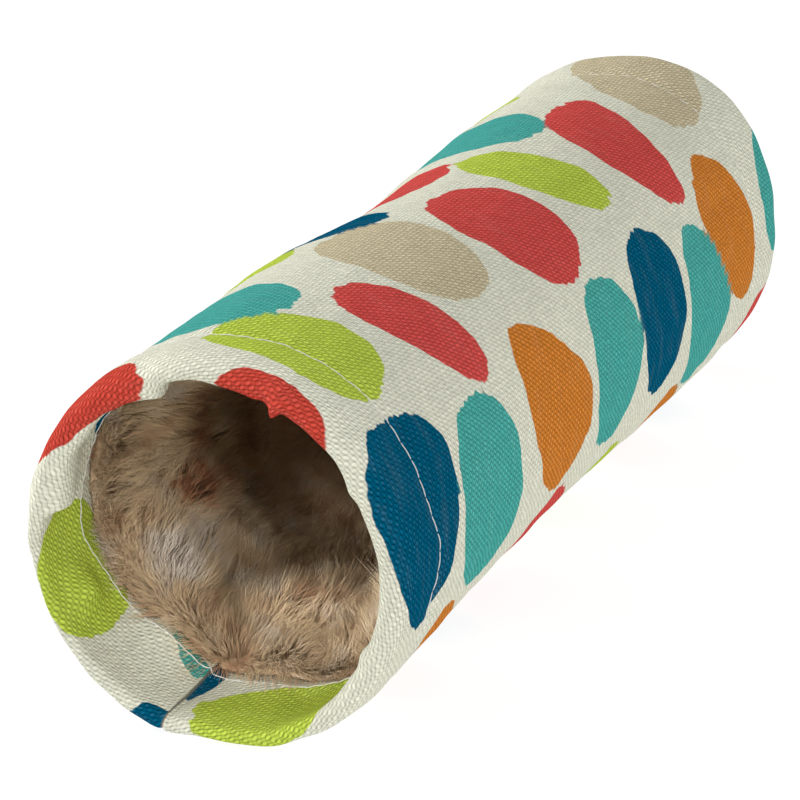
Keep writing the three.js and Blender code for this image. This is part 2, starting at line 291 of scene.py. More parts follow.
def new_mesh(name, points, faces):
    """A smooth-shaded mesh object from an array of points and one of corner numbers."""
    sides = faces.shape[1]
    mesh = bpy.data.meshes.new(name)
    mesh.vertices.add(len(points))
    mesh.vertices.foreach_set("co", points.astype(np.float32).ravel())
    mesh.loops.add(faces.size)
    mesh.loops.foreach_set("vertex_index", faces.astype(np.int32).ravel())
    mesh.polygons.add(len(faces))
    mesh.polygons.foreach_set("loop_start", np.arange(0, faces.size, sides, dtype=np.int32))
    mesh.polygons.foreach_set("use_smooth", np.ones(len(faces), dtype=bool))
    mesh.update(calc_edges=True)
    piece = bpy.data.objects.new(name, mesh)
    bpy.context.scene.collection.objects.link(piece)
    mesh.calc_loop_triangles()
    print(f"{name}: {len(points)} points, {len(mesh.loop_triangles)} triangles")
    return piece


def paced(start, end, step_at):
    """Places from start to end whose spacing at each place is about step_at(place)."""
    fine = np.linspace(start, end, 4000)
    pace = np.concatenate([[0], np.cumsum(np.diff(fine) / step_at((fine[1:] + fine[:-1]) / 2))])
    return np.interp(np.linspace(0, pace[-1], round(pace[-1]) + 1), pace, fine)


# %% [markdown]
# ## The canvas
# The cloth runs along the outside, rolls over the mouth's edge and goes back inside as the hem's
# facing. Its profile keeps, with each station, how far along the cloth it lies, so that the print
# can follow the cloth over the edge as it does on a real cut panel.

# %% The canvas profile
ROLL_DEPTH = 2.2           # how deep the roll's outer quarter runs, as a share of its radius
HEM_EVEN = 12.0            # from this inset on, the roll's size no longer matters
FACING_FLAT = 13.0         # and from here the facing lies flat on the lining's lip
SLACK = 1.5                # where the print starts, measured from the mouth


def outer_step(along):
    """Close spacing by the stitch lines, wider in the middle."""
    inset = np.minimum(along, LENGTH - along)
    return 2.75 - 1.15 * (inset < 34) - 0.75 * hump(inset - STITCH_FROM_MOUTH, 6)


def around_step(angle):
    """Degrees between the columns: close by the seam and the tuft, even elsewhere."""
    return 1.27 - 0.88 * hump(turn(SEAM_ANGLE, angle), 3.5) - 0.8 * hump(turn(68, angle), 4)


around_cloth = paced(SEAM_ANGLE - 360, SEAM_ANGLE, around_step)
around = around_cloth[:-1]
SIDES = len(around)


def between(inset, start, first):
    """Insets from first to HEM_EVEN, moved so that they begin at start in each column."""
    moved = start + (inset - first) * (HEM_EVEN - start) / (HEM_EVEN - first)
    return np.where(inset < HEM_EVEN, moved, inset)


def hem_stations(end):
    """One mouth's hem, as arrays of stations by angles: inset, radius, facing and shown. Roll: a
    quarter of an ellipse, then of a circle of radius p. Facing: from R - 2p to the stitches."""
    roll = ROLL_RADIUS + end_sum(ROLLS, around, end)[None, :]

    def arc(radius, count):
        swing = (np.pi * np.arange(1, count) / count)[:, None]
        depth = np.where(swing < np.pi / 2, ROLL_DEPTH, 1.0)
        return (depth * (roll - radius * np.sin(swing)),
                OUTER_RADIUS - roll + radius * np.cos(swing), (1 - np.cos(swing)) / 2 + 0 * roll)

    def face(insets, thickness):
        inset = between(insets, roll, ROLL_RADIUS)
        inner = OUTER_RADIUS - 2 * roll
        radius = inner + (FACING_RADIUS - inner) * ease(inset, roll, FACING_FLAT)
        return inset, radius + thickness, 1 + 0 * inset

    out = paced(ROLL_RADIUS, FACING_LENGTH, lambda i: 1.5 - 0.6 * hump(i - 22.5, 4))[:, None]
    back = np.linspace(FACING_LENGTH, ROLL_RADIUS, 9)[:, None]
    inner = arc(np.maximum(roll - CANVAS, 0.1), 6)
    parts = [arc(roll, 12), face(out, 0), face(back, CANVAS), [a[::-1] for a in inner]]
    columns = [np.concatenate(kind) for kind in zip(*parts)]
    seen = np.concatenate([np.full(p[0].shape, float(i < 2)) for i, p in enumerate(parts)])
    return (*columns, seen), roll


def wall_stations(places, radius, seen):
    """The tube's wall from mouth to mouth: near each mouth it starts where the roll ends."""
    place = places[:, None] + 0 * around[None, :]
    far = place > LENGTH / 2
    start = ROLL_DEPTH * np.where(far, rolls[1], rolls[0])
    inset = between(np.minimum(place, LENGTH - place), start, ROLL_DEPTH * ROLL_RADIUS)
    return np.where(far, LENGTH - inset, inset), radius + 0 * inset, 0 * inset, seen + 0 * inset


def cloth_from(outer_end, hem):
    """How far the hem's cloth lies before the wall's end: the profile's running length."""
    line = np.concatenate([outer_end[None], np.stack(hem[:2], axis=-1)])
    return np.cumsum(np.linalg.norm(np.diff(line, axis=0), axis=-1), axis=0)


hems, rolls = zip(*(hem_stations(end) for end in (0, 1)))
FIRST = ROLL_DEPTH * ROLL_RADIUS
outer_wall = wall_stations(paced(FIRST, LENGTH - FIRST, outer_step), OUTER_RADIUS, 1.0)
hidden_wall = wall_stations(np.linspace(LENGTH - FIRST, FIRST, 28), OUTER_RADIUS - CANVAS, 0.0)
wall_cloth = outer_wall[0] + SLACK
hem_cloth = []
for hem, roll in zip(hems, rolls):
    start = ROLL_DEPTH * roll[0]
    hem_cloth.append(start - cloth_from(np.stack([start, 0 * start + OUTER_RADIUS], -1), hem))
far_hem = [LENGTH - hems[1][0], *hems[1][1:]]
near_hem = [column[::-1] for column in hems[0]]
along, radius, facing, shown = (np.concatenate(kind) for kind in zip(
    outer_wall, far_hem, hidden_wall, near_hem))
cloth_place = np.concatenate([
    wall_cloth, LENGTH - hem_cloth[1] + SLACK, 0 * hidden_wall[0], hem_cloth[0][::-1] + SLACK])
canvas_points = layer_points(around[None, :], along, radius, facing).reshape(-1, 3)
canvas = new_mesh("canvas_sleeve", canvas_points, grid_faces(len(along), SIDES))
print("stations", len(along), "columns", SIDES)

# %% [markdown]
# ## The print
# The panel is printed with loose brush petals: teal, blue, orange, red, lime and taupe on cream.
# They could be painted as a picture, but here each petal is a row of a short chart and a formula:
# a rounded oval, bent and tapered. Every corner of the mesh stores how far it is from the nearest
# petal, and that petal's ink. The chart is in cloth measures, so the print is cut at the seam.

# %% The chart of petals
def ink(red, green, blue, lift=1.0):
    """A screen colour, 0 to 255, as linear light: ((c + 0.055) / 1.055) ^ 2.4."""
    c = np.array([red, green, blue]) / 255
    return tuple(lift * np.where(c < 0.04045, c / 12.92, ((c + 0.055) / 1.055) ** 2.4))


INK_LIFT = 1.42
INKS = {
    "teal": ink(66, 150, 142, INK_LIFT), "blue": ink(0, 76, 103, INK_LIFT),
    "orange": ink(184, 112, 44, INK_LIFT), "red": ink(187, 70, 66, INK_LIFT),
    "coral": ink(176, 62, 50, INK_LIFT), "lime": ink(164, 182, 68, INK_LIFT),
    "taupe": ink(180, 169, 140, INK_LIFT),
}

# ink, angle, cloth place, half-length round, half-width along, tilt (far end to the right), bend
# (ends towards the far mouth), taper (thicker at the right)
PETALS = [
    ("blue", 12, 20, 27, 19.5, -7, 0.0, -0.3), ("teal", 3, 62, 25.5, 20, 0, 0.0, 0.05),
    ("orange", 12, 110, 26.5, 18, 32, 0.1, 0.35), ("teal", 7, 156, 24, 18, -4, -0.2, 0.0),
    ("blue", 9, 195, 25, 18, 6, -0.08, -0.05), ("teal", -2, 235, 28, 17, 22, -0.1, 0.3),
    ("orange", 14, 264, 27, 17.5, 33, 0.05, -0.2), ("teal", 15, 308, 21, 16, -6, 0.0, 0.0),
    ("lime", 76, 27, 23, 16.5, 12, -0.1, 0.25), ("red", 58, 68.5, 23.5, 11.5, 20, 0.05, -0.15),
    ("taupe", 80, 101, 24, 20, -12, 0.0, 0.0), ("red", 65, 145, 23.5, 20, 14, 0.0, 0.05),
    ("lime", 74, 184.5, 23.5, 12.5, 20, 0.35, 0.0), ("red", 65, 232, 26, 17, -18, 0.55, -0.1),
    ("taupe", 80, 286, 29, 18, -48, 0.0, 0.0), ("coral", 66, -3.2, 18.5, 8.5, -9, -0.2, 0.15),
    ("teal", 119, 48, 27, 19, -12, 0.0, 0.15), ("coral", 138, 4.8, 22, 8.2, -12, -0.15, 0.0),
    ("lime", 135, 94, 18, 12, 0, 0.0, 0.0), ("blue", 120, 117, 22, 12, 35, 0.0, 0.0),
    ("red", 121, 161, 25, 15, 58, 0.0, 0.0), ("teal", 111, 214, 22, 20, 0, 0.0, 0.0),
    ("lime", 140, 267, 20, 13, -15, 0.0, 0.0),
    ("orange", -46, 48, 23, 12, 34, 0.0, 0.1), ("red", -44, 114, 21, 16, -28, 0.0, 0.0),
    ("lime", -54, 172, 21, 14, 10, 0.1, 0.0), ("orange", -50, 224, 22, 13, 38, 0.0, 0.0),
    ("red", -42, 306, 21, 13, 22, 0.0, 0.0), ("lime", -72, -10, 24, 13.5, 13, -0.1, 0.0),
    ("blue", -70, 84, 21, 12, -15, 0.1, 0.0), ("taupe", -66, 140, 20, 12, 12, 0.0, 0.0),
    ("teal", -84, 34, 18, 12, -10, 0.0, 0.1), ("teal", -84, 200, 20, 13, -12, 0.0, 0.0),
    ("blue", -72, 262, 23, 14, 8, 0.0, 0.0), ("red", -96, 170, 13, 12, 20, 0.0, 0.0),
    ("lime", -98, 232, 14, 12, 10, 0.0, 0.0), ("red", -98, 64, 13, 11, 0, 0.0, 0.0),
    ("orange", -98, 112, 14, 13, -20, 0.0, 0.0), ("taupe", -98, 294, 15, 12, 0, 0.0, 0.0),
    ("orange", 164, 32, 19, 13, -15, 0.1, 0.0), ("blue", 172, 68, 22, 15, 12, 0.0, 0.0),
    ("teal", 178, 110, 24, 17, 0, 0.0, 0.1), ("red", 170, 150, 19, 14, -20, 0.1, 0.0),
    ("lime", 168, 192, 24, 15, 15, 0.1, 0.0), ("taupe", 178, 232, 25, 15, -8, 0.0, 0.0),
    ("orange", 186, 276, 24, 16, 20, 0.0, 0.2), ("red", 160, 298, 16, 10, 0, 0.0, 0.0),
    ("lime", 199, -14, 19, 15.5, -4, 0.0, -0.1), ("blue", 147, -27, 11, 6, 0, 0.0, 0.0),
    ("blue", 252.5, 2.5, 7.5, 6, -20, 0.0, 0.0), ("teal", 245, -24.3, 9.2, 3.6, -25, 0.0, 0.0),
    ("red", 218, 36, 24, 14, 14, 0.1, 0.0), ("lime", 224, 80, 22, 16, -14, 0.0, 0.1),
    ("orange", 228, 128, 24, 16, 22, 0.0, -0.1), ("teal", 222, 172, 22, 15, -6, 0.1, 0.0),
    ("blue", 226, 212, 24, 15, 10, 0.0, 0.0), ("red", 236, 254, 22, 14, -18, 0.0, 0.0),
    ("teal", 222, 302, 22, 13, 8, 0.0, 0.0), ("blue", -105.2, -19.5, 8, 4.5, 70, 0.0, 0.0),
    ("orange", 92, 332, 22, 12, 0, 0.0, 0.0), ("blue", 40, 336, 18, 10, 12, 0.0, 0.0),
    ("lime", -14, 330, 20, 11, -10, 0.0, 0.0), ("teal", -70, 326, 20, 12, 0, 0.0, 0.0),
    ("red", 150, 328, 22, 11, 12, 0.0, 0.0), ("lime", 205, 330, 20, 11, 0, 0.0, 0.0),
    ("orange", 20, -26, 15, 8, 0, 0.0, 0.0), ("teal", 100, -26, 16, 8, 10, 0.0, 0.0),
    ("taupe", -34, -24, 14, 8, -10, 0.0, 0.0),
]
print(len(PETALS), "petals in", len(INKS), "inks")


# %% Distance from the nearest petal
def petal_distance(across, place, row):
    """Turn into the petal's own axes, divide by its half sizes, take off bend x^2, divide by
    1 + taper x; then (|x|^n + |y|^n)^(1/n) - 1 is 0 on the outline, times the half-width. The
    second number is |x|, which is near 1 at the petal's two ends."""
    _, at, centre, long, wide, tilt, bend, taper = row
    right = math.radians(at) * OUTER_RADIUS - across
    far = place - centre
    slant = math.radians(tilt)
    x = (right * math.cos(slant) + far * math.sin(slant)) / long
    y = (far * math.cos(slant) - right * math.sin(slant)) / wide
    y = (y - bend * (x * x - 0.35)) / np.maximum(1 + taper * x, 0.3)
    roundness = 2.25
    size = (abs(x) ** roundness + abs(y) ** roundness) ** (1 / roundness)
    return (size - 1) * wide, abs(x)


def corners(grid):
    """A grid with one more column than the ring has, read at every corner of every face."""
    up = np.roll(grid, -1, axis=0)
    pick = [grid[:, :-1], grid[:, 1:], up[:, 1:], up[:, :-1]]
    return np.stack(pick, axis=2).reshape(-1, *grid.shape[2:])


def corner_attribute(mesh, name, kind, field, values):
    """Stores one value or colour per face corner."""
    layer = mesh.attributes.new(name, kind, "CORNER")
    layer.data.foreach_set(field, values.astype(np.float32).ravel())


place = np.column_stack([cloth_place, cloth_place[:, 0]])
across = np.radians(around_cloth)[None, :] * OUTER_RADIUS + 0 * place
shown = np.column_stack([shown, shown[:, 0]])
gaps, ends = np.stack([petal_distance(across, place, row) for row in PETALS], axis=1)
nearest = gaps.argmin(axis=0)
gap = np.where(shown > 0, gaps.min(axis=0), 50.0)
ends = np.take_along_axis(ends, nearest[None], axis=0)[0]
inks = np.array([(*INKS[row[0]], 1.0) for row in PETALS])[nearest]
canvas_uv = canvas.data.uv_layers.new(name="cloth")
uv = corners(np.stack([across, place], axis=-1) * MM)
canvas_uv.data.foreach_set("uv", uv.astype(np.float32).ravel())
corner_attribute(canvas.data, "petal_gap", "FLOAT", "value", corners(gap) * MM)
corner_attribute(canvas.data, "petal_end", "FLOAT", "value", corners(ends))
from_seam = np.minimum(across - across[:, :1], across[:, -1:] - across)
corner_attribute(canvas.data, "from_seam", "FLOAT", "value", corners(from_seam) * MM)
corner_attribute(canvas.data, "petal_ink", "FLOAT_COLOR", "color", corners(inks))
print("printed share of the cloth: %.2f" % (gap < 0).mean())

# %% [markdown]
# ## Node helpers
# The materials are built in code. Small helpers place a node, a sum, a mix or a step, so that a
# formula reads from left to right, and the weave becomes a node group with named inputs.

# %% Helpers for node trees
def add_node(tree, kind, settings=None, **inputs):
    """A node with its settings, and its inputs set by name to a value or linked to a socket."""
    node = tree.nodes.new(kind)
    for key, value in (settings or {}).items():
        setattr(node, key, value)
    for key, value in inputs.items():
        socket = node.inputs[key.replace("_", " ")]
        if isinstance(value, bpy.types.NodeSocket):
            tree.links.new(value, socket)
        else:
            socket.default_value = value
    return node


def calc(tree, operation, *values):
    """The output of one Math node."""
    node = tree.nodes.new("ShaderNodeMath")
    node.operation = operation
    for socket, value in zip(node.inputs, values):
        if isinstance(value, bpy.types.NodeSocket):
            tree.links.new(value, socket)
        else:
            socket.default_value = value
    return node.outputs[0]


def mix_colour(tree, share, low, high, blend="MIX"):
    """The colour output of one Mix node."""
    node = tree.nodes.new("ShaderNodeMix")
    node.data_type, node.blend_type = "RGBA", blend
    for socket, value in ((node.inputs[0], share), (node.inputs[6], low), (node.inputs[7], high)):
        if isinstance(value, bpy.types.NodeSocket):
            tree.links.new(value, socket)
        else:
            socket.default_value = value
    return node.outputs[2]


def shaded(tree, colour, level):
    """Colour x level, the same for red, green and blue."""
    grey = add_node(tree, "ShaderNodeCombineColor", Red=level, Green=level, Blue=level)
    return mix_colour(tree, 1.0, colour, grey.outputs[0], "MULTIPLY")


def attribute(tree, name, output="Fac"):
    """What the mesh stores under a name, as a number, a colour or a vector."""
    return add_node(tree, "ShaderNodeAttribute", {"attribute_name": name}).outputs[output]


def steps(tree, value, low, high, low_out=0.0, high_out=1.0):
    """A smooth step from low_out to high_out."""
    node = add_node(tree, "ShaderNodeMapRange", {"interpolation_type": "SMOOTHSTEP"})
    tree.links.new(value, node.inputs["Value"])
    for name, number in (("From Min", low), ("From Max", high), ("To Min", low_out),
                         ("To Max", high_out)):
        node.inputs[name].default_value = number
    return node.outputs["Result"]


def new_material(name):
    """A material with its Principled shader: returns material, tree and shader."""
    material = bpy.data.materials.new(name)
    material.use_nodes = True
    tree = material.node_tree
    return material, tree, tree.nodes["Principled BSDF"]


# %% [markdown]
# ## Plain weave
# Upholstery canvas is a plain weave: each thread goes over one and under the next. On a
# checkerboard of crossings the warp is on top on one colour of square and the weft on the other.
# A thread's section is round, it rises and dips as a sine along its length, and the higher of the
# two threads is the one seen. Slow noise bends the threads and fine noise thickens them, as slubs.

# %% The weave as a node group
THREAD_PITCH = 0.00126     # metres between the threads that run along the tube
ROUND_PITCH = 0.82         # the pitch of those that run round it, as a share of the first
ROUND_SLANT = 0.3          # and how far they climb along the tube for each step round it
RIB = 0.09                 # the height of the faint slanting rib

# Which threads (0 along, 1 round), the share of their arc and of their wave in the height
THREAD_SETS = ((0, 0.32, 0.34), (1, 0.6, -0.46))


def weave_group():
    """Inputs: Cloth (metres on the cloth), Pitch, Unevenness. Outputs: Height and Shade.
    Each thread's top = arc sqrt(1 - (offset / half-width)^2) + wave sin(pi (place + number));
    the threads that run round the tube are thicker and a little slanted, their sine is turned
    over, and Height is the larger of the two plus a faint slanting rib,
    RIB cos(pi (place 1 + place 2))."""
    group = bpy.data.node_groups.new("plain weave", "ShaderNodeTree")
    group.interface.new_socket("Cloth", in_out="INPUT", socket_type="NodeSocketVector")
    for name, default in (("Pitch", THREAD_PITCH), ("Unevenness", 1.0)):
        socket = group.interface.new_socket(name, in_out="INPUT", socket_type="NodeSocketFloat")
        socket.default_value = default
    for name in ("Height", "Shade"):
        group.interface.new_socket(name, in_out="OUTPUT", socket_type="NodeSocketFloat")
    entry = group.nodes.new("NodeGroupInput")
    out = group.nodes.new("NodeGroupOutput")
    cloth, pitch, uneven = entry.outputs[0], entry.outputs[1], entry.outputs[2]

    split = add_node(group, "ShaderNodeSeparateXYZ", Vector=cloth)
    wander = add_node(group, "ShaderNodeTexNoise", Vector=cloth, Scale=210.0, Detail=3.0)
    pulls = add_node(group, "ShaderNodeSeparateXYZ", Vector=wander.outputs["Color"])
    place, thread, offset = [], [], []
    slanted = calc(group, "ADD", split.outputs[1], calc(
        group, "MULTIPLY", ROUND_SLANT, split.outputs[0]))
    for i, at in enumerate((split.outputs[0], slanted)):
        pull = calc(group, "MULTIPLY", calc(group, "SUBTRACT", pulls.outputs[i], 0.5), uneven)
        own_pitch = calc(group, "MULTIPLY", pitch, (1.0, ROUND_PITCH)[i])
        bent = calc(group, "ADD", calc(group, "DIVIDE", at, own_pitch), pull)
        number = calc(group, "FLOOR", bent)
        place.append(bent)
        thread.append(number)
        offset.append(calc(group, "SUBTRACT", calc(group, "SUBTRACT", bent, number), 0.5))
    tops = []
    for i, arc_share, wave_share in THREAD_SETS:
        own = add_node(group, "ShaderNodeCombineXYZ", X=calc(group, "MULTIPLY", thread[i], 7.31),
                       Y=calc(group, "MULTIPLY", place[1 - i], 0.21), Z=float(i))
        slub = add_node(group, "ShaderNodeTexNoise", Vector=own.outputs[0], Scale=1.0, Detail=2.0)
        width = steps(group, slub.outputs["Fac"], 0.25, 0.75, 0.42, 0.56)
        rise = calc(group, "SINE", calc(group, "MULTIPLY", math.pi, calc(
            group, "ADD", place[1 - i], thread[i])))
        off = calc(group, "DIVIDE", offset[i], width)
        arc = calc(group, "SQRT", calc(group, "MAXIMUM", 0.0, calc(
            group, "SUBTRACT", 1.0, calc(group, "MULTIPLY", off, off))))
        tops.append(calc(group, "ADD", calc(group, "MULTIPLY", arc_share, arc),
                         calc(group, "MULTIPLY", wave_share, rise)))
    rib = calc(group, "MULTIPLY", RIB, calc(group, "COSINE", calc(
        group, "MULTIPLY", math.pi, calc(group, "ADD", place[0], place[1]))))
    height = calc(group, "MAXIMUM", calc(group, "ADD", rib, calc(
        group, "MAXIMUM", tops[0], tops[1])), 0.0)
    group.links.new(height, out.inputs["Height"])
    bead = add_node(group, "ShaderNodeCombineXYZ", X=thread[0], Y=thread[1])
    own = add_node(group, "ShaderNodeTexWhiteNoise", Vector=bead.outputs[0]).outputs["Value"]
    # Shade is painted shade: darker in the holes, a little lighter on thread tops, times a tone
    # per bead
    group.links.new(calc(group, "MULTIPLY", steps(group, height, 0.1, 0.85, 0.62, 1.06), steps(
        group, own, 0.0, 1.0, 0.93, 1.05)), out.inputs["Shade"])
    return group


weave = weave_group()
print("weave group with", len(weave.nodes), "nodes")

# %% [markdown]
# ## Printed canvas
# The cream cloth and its inks share one material. The stored distance from the nearest petal
# becomes a mask, and noise is added to it first, so the edges run ragged like a dry brush. The
# weave's shade is painted shade: it darkens the colour in the holes between threads and lightens
# it a little on their tops. The weave also drives the bump.

# %% The canvas material
CREAM = (0.81, 0.81, 0.665, 1.0)
SEAM_SHADOW = (0.2, 0.19, 0.16, 1.0)
WEAVE_DEPTH = 0.0004
EDGE_WANDER = 0.0026       # how far a petal's edge strays along its sides, in metres
DRY_SIDES, DRY_ENDS = 0.0008, 0.0036


def canvas_finish():
    """Mask = gap + ragged noise; colour = cream or ink, times the weave's painted shade."""
    material, tree, shader = new_material("printed canvas")
    cloth = add_node(tree, "ShaderNodeUVMap", {"uv_map": "cloth"}).outputs[0]
    woven = add_node(tree, "ShaderNodeGroup", {"node_tree": weave}, Cloth=cloth,
                     Pitch=THREAD_PITCH, Unevenness=1.0)
    distance = attribute(tree, "petal_gap")
    stroke = add_node(tree, "ShaderNodeMapping", Vector=cloth, Scale=(0.22, 1.0, 1.0)).outputs[0]
    coarse = add_node(tree, "ShaderNodeTexNoise", Vector=cloth, Scale=130.0, Detail=3.0)
    bristle = add_node(tree, "ShaderNodeTexNoise", Vector=stroke, Scale=300.0, Detail=4.0)
    dry = steps(tree, attribute(tree, "petal_end"), 0.8, 1.0, DRY_SIDES, DRY_ENDS)
    ragged = calc(tree, "ADD", *(
        calc(tree, "MULTIPLY", calc(tree, "SUBTRACT", noise.outputs["Fac"], 0.5), reach)
        for noise, reach in ((coarse, EDGE_WANDER), (bristle, dry))))
    printed = steps(tree, calc(tree, "ADD", distance, ragged), -0.00018, 0.00018, 1.0, 0.0)
    streak = add_node(tree, "ShaderNodeTexNoise", Vector=stroke, Scale=260.0, Detail=3.0)
    speck = add_node(tree, "ShaderNodeTexNoise", Vector=cloth, Scale=1400.0, Detail=1.0)
    # Ink thinned in brush streaks, and pale specks on thread tops: partly worn ink, partly painted
    # highlight
    thin_ink_and_highlight = calc(tree, "ADD", steps(tree, streak.outputs["Fac"], 0.45, 0.75, 0.0, 0.03), calc(
        tree, "MULTIPLY", steps(tree, speck.outputs["Fac"], 0.45, 0.7, 0.0, 0.035),
        steps(tree, woven.outputs["Height"], 0.6, 1.0)))
    petal = mix_colour(tree, thin_ink_and_highlight, attribute(tree, "petal_ink", "Color"), CREAM)
    # Painted shade and highlight on the ink: darker in the holes, lighter on the thread tops
    petal = shaded(tree, petal, steps(tree, woven.outputs["Height"], 0.1, 0.9, 0.78, 1.08))
    colour = mix_colour(tree, printed, CREAM, petal)
    colour = shaded(tree, colour, woven.outputs["Shade"])
    beside_seam = steps(tree, attribute(tree, "from_seam"), 0.00005, 0.00045)
    colour = mix_colour(tree, beside_seam, SEAM_SHADOW, colour)
    tree.links.new(colour, shader.inputs["Base Color"])
    tree.links.new(steps(tree, woven.outputs["Height"], 0.0, 1.0, 0.95, 0.82),
                   shader.inputs["Roughness"])
    bump = add_node(tree, "ShaderNodeBump", Strength=1.0, Distance=WEAVE_DEPTH,
                    Height=woven.outputs["Height"])
    tree.links.new(bump.outputs[0], shader.inputs["Normal"])
    shader.inputs["Specular IOR Level"].default_value = 0.0
    return material


canvas.data.materials.append(canvas_finish())
print("canvas material ready")

# %% [markdown]
# ## The lining's skin
# Under the fur is the knitted backing, a second tube caught in the hems. It hangs loose, so it
# lies in big lumps with creases between them. It is a closed ring as the canvas is: outer face,
# the lip inside the hem, the fur's free edge, and the lumpy inner face that carries the fur.

# %% The skin's surface
PILE_RADIUS, PILE_DEPTH = 39.5, 6.6
EDGE_RADIUS = FACING_RADIUS - 0.3          # where the fur's free edge lies on the facing

# Lumps and hollows of the loose lining: angle, along, spread, reach, rise into the passage
FUR_LUMPS = np.array([
    (272, 66, 24, 22, 7.0), (214, 47, 26, 15, 3.2), (196, 78, 22, 17, 4.2),
    (232, 96, 24, 20, -2.4), (158, 52, 26, 20, 2.4), (252, 136, 30, 22, 4.0),
    (182, 150, 26, 24, 3.4), (60, 92, 30, 30, 2.0), (0, 60, 26, 24, 3.4),
    (350, 168, 28, 28, 4.0), (118, 196, 30, 26, 2.0), (286, 214, 30, 24, 5.0),
    (205, 246, 28, 20, 3.6), (30, 246, 28, 20, 2.6),
])
FINE_LUMPS = np.array([
    (212, 45, 18, 9, 2.6), (198, 61, 9, 8, 5.0), (214, 108, 16, 18, -2.5),
    (262, 58, 14, 12, 1.6), (254, 104, 8, 12, -1.6), (236, 60, 8, 16, -0.5),
    (176, 60, 10, 12, 1.4), (156, 44, 9, 10, 1.6), (140, 60, 10, 14, 1.2),
    (348, 37, 18, 11, 5.2), (326, 46, 16, 12, 4.4), (304, 56, 14, 12, 3.4),
    (4, 62, 20, 12, -6.0), (338, 70, 14, 9, -5.0), (314, 80, 12, 8, -3.5),
    (330, 98, 22, 14, 3.0), (300, 104, 18, 14, 2.0),
    (40, 110, 40, 40, -3.0), (90, 120, 40, 40, -2.0),
])

# Where the tips are paler (to 1), browner (to -1) or dark (-2), in the same columns but for the
# last, which is the amount. The pale rows are dye; the dark rows and the brown ones in the crease
# behind the low lump and round the deep hollow are painted shade.
FUR_TINTS_AND_SHADE = np.array([
    (215, 47, 13, 13, 1.2), (198, 61, 12, 11, -0.9), (326, 44, 20, 12, 0.3),
    (180, 52, 16, 20, -0.25), (340, 69, 24, 9, -1.1), (36, 112, 44, 34, -2.0),
    (100, 104, 50, 32, -1.4), (75, 92, 16, 20, -1.2),
])


def skin_radius(angle, along):
    """The pile's radius less the lumps, plus the pile's depth, with a soft ruffle; near its free
    edge it eases out to the facing."""
    lumps = table_rise(FUR_LUMPS, angle, along) + table_rise(FINE_LUMPS, angle, along)
    ruffle = 0.7 * waves(angle, along, 18, 21, 12, 34)
    deep = np.minimum(PILE_RADIUS - lumps + ruffle + PILE_DEPTH, BACKING_INNER - 0.5)
    return EDGE_RADIUS + (deep - EDGE_RADIUS) * ease(np.minimum(along, LENGTH - along),
                                                     FUR_FROM_MOUTH, FUR_FROM_MOUTH + 9)


def pile_points(angle, along):
    """The lumpy skin's points, in mm."""
    return layer_points(angle, along, skin_radius(angle, along), 0.0, 0.0, 0.0, 1.0) / MM


SKIN_SIDES = 216
pile = np.linspace(LENGTH - FUR_FROM_MOUTH, FUR_FROM_MOUTH, 98)
back = np.linspace(LIP_FROM_MOUTH, LENGTH - LIP_FROM_MOUTH, 24)
lip = np.array([(LIP_FROM_MOUTH, BACKING_INNER), (18.5, BACKING_INNER), (22.5, BACKING_INNER),
                (FUR_FROM_MOUTH, BACKING_INNER)])
skin_profile = np.concatenate([
    np.column_stack([back, back * 0 + BACKING_OUTER, 0 * back]),
    np.column_stack([LENGTH - lip[:, 0], lip[:, 1], 0 * lip[:, 0]]),
    np.column_stack([pile, pile * 0, pile * 0 + 1]),
    np.column_stack([lip[::-1], 0 * lip[:, 0]]),
])
skin_around = np.arange(SKIN_SIDES) * 360 / SKIN_SIDES
skin_along, skin_r, is_pile = (column[:, None] for column in skin_profile.T)
skin_layer = np.where(is_pile > 0, skin_radius(skin_around[None, :], skin_along), skin_r)
skin_points = layer_points(
    skin_around[None, :], skin_along, skin_layer, 0.0, 1 - is_pile, 0.0, is_pile)
skin_faces = grid_faces(len(skin_profile), SKIN_SIDES)
skin = new_mesh("fur_backing", skin_points.reshape(-1, 3), skin_faces)


def point_value(piece, key, values, kind="FLOAT", field="value"):
    """Stores one number or vector per point."""
    layer = piece.data.attributes.new(key, kind, "POINT")
    layer.data.foreach_set(field, values.astype(np.float32).ravel())


point_value(skin, "tint_and_shade", table_rise(FUR_TINTS_AND_SHADE, skin_around[None, :], skin_along))

# %% [markdown]
# ## Fur
# Short plush is thousands of fine hairs that stand up from the backing, lean together and stick
# in small locks. A hair system is one way to make it; here each hair is a spindle of six
# triangles, from its root to a bend and on to its tip, so that it is ordinary mesh and exports.

# %% Hairs
HAIR_BATCHES = 4
HAIRS_A_BATCH = 28500
LOCK_SIZE = 3.8
LOCK_PULL = 0.24
WHORL = (256, 30)          # angle and place that the fur fans out from
NEAR_SHARE, MIDDLE_SHARE = 0.66, 0.12      # of the hairs; the rest are by the far mouth
NEAR_SPAN, MIDDLE_FROM, MIDDLE_SPAN, FAR_SPAN = 80, 94, 120, 62
HAIR_LENGTH, LOCK_LENGTHS, OWN_LENGTHS = 9.4, 2.6, 1.3
EDGE_REACH = 5             # how far from its free edge the fur lies to the mouth


def hair_roots(random, count):
    """Angles and places: most hairs near our mouth, the rest by the far one and between."""
    where = random.random(count)
    near = FUR_FROM_MOUTH + NEAR_SPAN * random.random(count) ** 1.2
    middle = MIDDLE_FROM + MIDDLE_SPAN * random.random(count)
    far = LENGTH - FUR_FROM_MOUTH - FAR_SPAN * random.random(count) ** 1.15
    rest = np.where(where < NEAR_SHARE + MIDDLE_SHARE, middle, far)
    place = np.where(where < NEAR_SHARE, near, rest)
    return random.random(count) * 360, place


